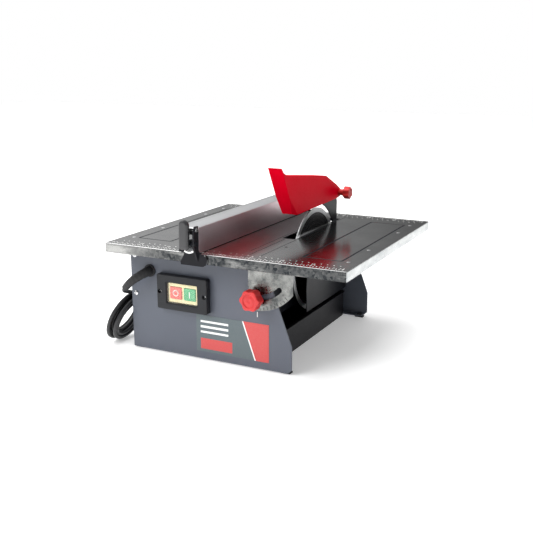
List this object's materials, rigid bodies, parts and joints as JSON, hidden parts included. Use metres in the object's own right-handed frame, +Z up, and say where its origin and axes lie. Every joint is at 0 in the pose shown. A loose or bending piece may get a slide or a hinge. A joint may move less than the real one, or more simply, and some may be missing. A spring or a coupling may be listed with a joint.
{
  "type": "tile cutter",
  "caption": "Bench-top wet tile cutter with a tilting steel table, sliding clamped fence, swinging red blade guard, direct-drive motor and slide-out water tray.",
  "frame": {"origin": "centre of the machine's outline on the floor plane, under the middle of the table", "axes": "+X runs along the switch panel to the right when facing it, +Y runs from the switch panel to the back, +Z is up"},
  "size_m": [0.4501, 0.451, 0.3106],
  "materials": {
    "anodised": "satin anodised",
    "black_plastic": "satin black moulding",
    "button_green": "gloss green moulding",
    "button_red": "gloss red moulding",
    "cast_alloy": "as-cast motor alloy",
    "charcoal_plastic": "satin charcoal moulding",
    "clear_membrane": "soft clear splash membrane",
    "copper_windings": "varnished laminations and windings",
    "cord_rubber": "satin black cord jacket",
    "dark_coat": "satin dark powder coat",
    "diamond_rim": "sintered rim",
    "disc_steel": "dark steel core",
    "galvanised": "bright galvanised spangle",
    "guard_red": "gloss red paint",
    "knob_red": "satin coral red moulding",
    "label_film": "printed label film",
    "motor_steel": "painted steel motor tube",
    "powder_coat": "semi-gloss dark blue-grey powder coat",
    "rubber_black": "matt black rubber",
    "table_steel": "glossy dark grey coated steel",
    "zinc": "bright zinc plated"
  },
  "bodies": {
    "chassis": {"front_panel": "powder_coat", "rear_panel": "powder_coat", "side_cover": "powder_coat", "bulkhead": "dark_coat", "rubber_feet": "rubber_black", "panel_screws": "zinc", "motor_casing": "motor_steel", "motor_end_bells": "cast_alloy", "motor_cradle": "dark_coat", "stator": "copper_windings", "bearings": "zinc", "capacitor": "black_plastic", "switch_bezel": "charcoal_plastic", "switch_body": "black_plastic", "switch_screws": "zinc", "switch_membrane": "clear_membrane", "cord_gland": "rubber_black", "strain_relief": "cord_rubber", "riving_knife": "dark_coat", "knife_bracket": "dark_coat", "knife_bolts": "zinc", "lower_blade_cover": "dark_coat", "tilt_studs": "zinc", "pivot_pins": "zinc", "front_label": "label_film", "cord_lead": "cord_rubber", "cord_coil": "cord_rubber", "cord_tail": "cord_rubber", "cord_tie": "black_plastic", "plug": "rubber_black"},
    "table": {"table_top": "table_steel", "tilt_bracket_front": "galvanised", "tilt_bracket_rear": "galvanised", "table_stiffeners": "galvanised", "table_rivets": "zinc"},
    "fence": {"fence_rail": "anodised", "fence_bracket": "black_plastic", "fence_rear_hook": "black_plastic", "fence_pins": "zinc"},
    "fence_lever": {"cam_lever": "black_plastic"},
    "guard": {"blade_guard": "guard_red", "guard_bolt": "zinc", "guard_bushes": "black_plastic"},
    "guard_knob": {"guard_knob": "knob_red"},
    "front_knob": {"tilt_knob_front": "knob_red"},
    "rear_knob": {"tilt_knob_rear": "knob_red"},
    "spindle": {"motor_shaft": "zinc", "rotor": "zinc", "cooling_fan": "black_plastic", "inner_flange": "zinc", "outer_flange": "zinc", "arbor_nut": "zinc", "saw_blade": "disc_steel", "blade_rim": "diamond_rim"},
    "start": {"start_button": "button_green"},
    "stop": {"stop_button": "button_red"},
    "tray": {"water_tray": "black_plastic"}
  },
  "joints": [
    {"name": "table_tilt", "type": "hinge", "parent": "chassis", "child": "table", "pos_m": [0.05, 0, 0.174], "axis": [0, 1, 0], "range_deg": [0, 45]},
    {"name": "fence_slide", "type": "slide", "parent": "table", "child": "fence", "axis": [-1, 0, 0], "range_m": [-0.06, 0.13]},
    {"name": "fence_lever_swing", "type": "hinge", "parent": "fence", "child": "fence_lever", "pos_m": [-0.04725, -0.215, 0.203], "axis": [1, 0, 0], "range_deg": [0, 90]},
    {"name": "guard_swing", "type": "hinge", "parent": "chassis", "child": "guard", "pos_m": [0.05, 0.13, 0.24], "axis": [-1, 0, 0], "range_deg": [-10, 50]},
    {"name": "guard_knob_spin", "type": "hinge", "parent": "guard", "child": "guard_knob", "pos_m": [0.074, 0.13, 0.24], "axis": [1, 0, 0], "continuous": true},
    {"name": "front_knob_spin", "type": "hinge", "parent": "chassis", "child": "front_knob", "pos_m": [0.05, -0.186, 0.119], "axis": [0, 1, 0], "continuous": true},
    {"name": "rear_knob_spin", "type": "hinge", "parent": "chassis", "child": "rear_knob", "pos_m": [0.05, 0.186, 0.119], "axis": [0, 1, 0], "continuous": true},
    {"name": "blade_spin", "type": "hinge", "parent": "chassis", "child": "spindle", "pos_m": [0.05, 0.047, 0.133], "axis": [1, 0, 0], "continuous": true},
    {"name": "start_press", "type": "slide", "parent": "chassis", "child": "start", "axis": [0, 1, 0], "range_m": [0, 0.003], "stiffness_N_per_m": 400, "springref_m": -0.002},
    {"name": "stop_press", "type": "slide", "parent": "chassis", "child": "stop", "axis": [0, 1, 0], "range_m": [0, 0.003], "stiffness_N_per_m": 400, "springref_m": -0.002},
    {"name": "tray_slide", "type": "slide", "parent": "chassis", "child": "tray", "axis": [1, 0, 0], "range_m": [0, 0.09]}
  ]
}
